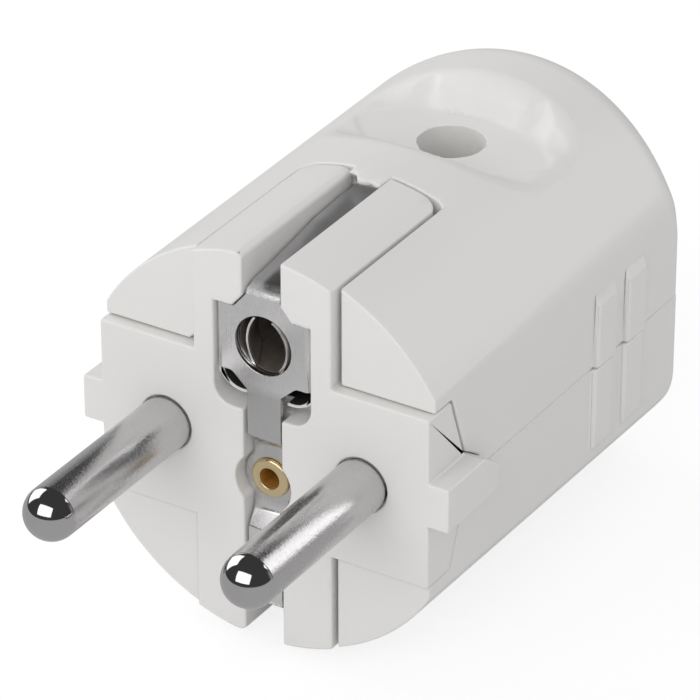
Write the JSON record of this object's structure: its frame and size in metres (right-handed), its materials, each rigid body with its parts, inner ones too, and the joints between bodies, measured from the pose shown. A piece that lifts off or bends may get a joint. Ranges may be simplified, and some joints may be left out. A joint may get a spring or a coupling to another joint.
{
  "type": "grounded plug",
  "caption": "Rewireable grounded mains plug with round line pins, an earth socket in its face, earth springs above and below and a cable inlet at the rear.",
  "frame": {"origin": "midway between the pins, on the front face that meets the wall socket", "axes": "pins point along -Y, cable inlet faces +Y, earth socket is above the pins towards +Z, +X runs from one pin to the other"},
  "size_m": [0.0356, 0.0647, 0.0373],
  "materials": {
    "upper_shell": "fine satin moulding",
    "lower_shell": "fine satin moulding",
    "contact_carrier": "satin moulding",
    "pins": "polished nickel plate",
    "earth_strip": "nickel-plated spring strip",
    "earth_sleeve": "nickel plate, turned",
    "earth_rivet": "bare brass",
    "earth_terminal": "bare brass",
    "terminal_screws": "zinc plate",
    "wire_plates": "zinc plate",
    "cord_clamp": "satin moulding",
    "housing_hardware": "zinc plate",
    "cable_grommet": "soft matt"
  },
  "bodies": {
    "root": {"upper_shell": "upper_shell", "lower_shell": "lower_shell", "contact_carrier": "contact_carrier", "line_pin": "pins", "line_terminal_screw": "terminal_screws", "line_wire_plate": "wire_plates", "neutral_pin": "pins", "neutral_terminal_screw": "terminal_screws", "neutral_wire_plate": "wire_plates", "earth_strip": "earth_strip", "earth_sleeve": "earth_sleeve", "earth_rivet": "earth_rivet", "earth_terminal": "earth_terminal", "earth_terminal_screw": "terminal_screws", "earth_wire_plate": "wire_plates", "cord_clamp": "cord_clamp", "cord_clamp_screws": "housing_hardware", "housing_screw": "housing_hardware", "housing_nut": "housing_hardware", "cable_grommet": "cable_grommet"}
  },
  "joints": []
}
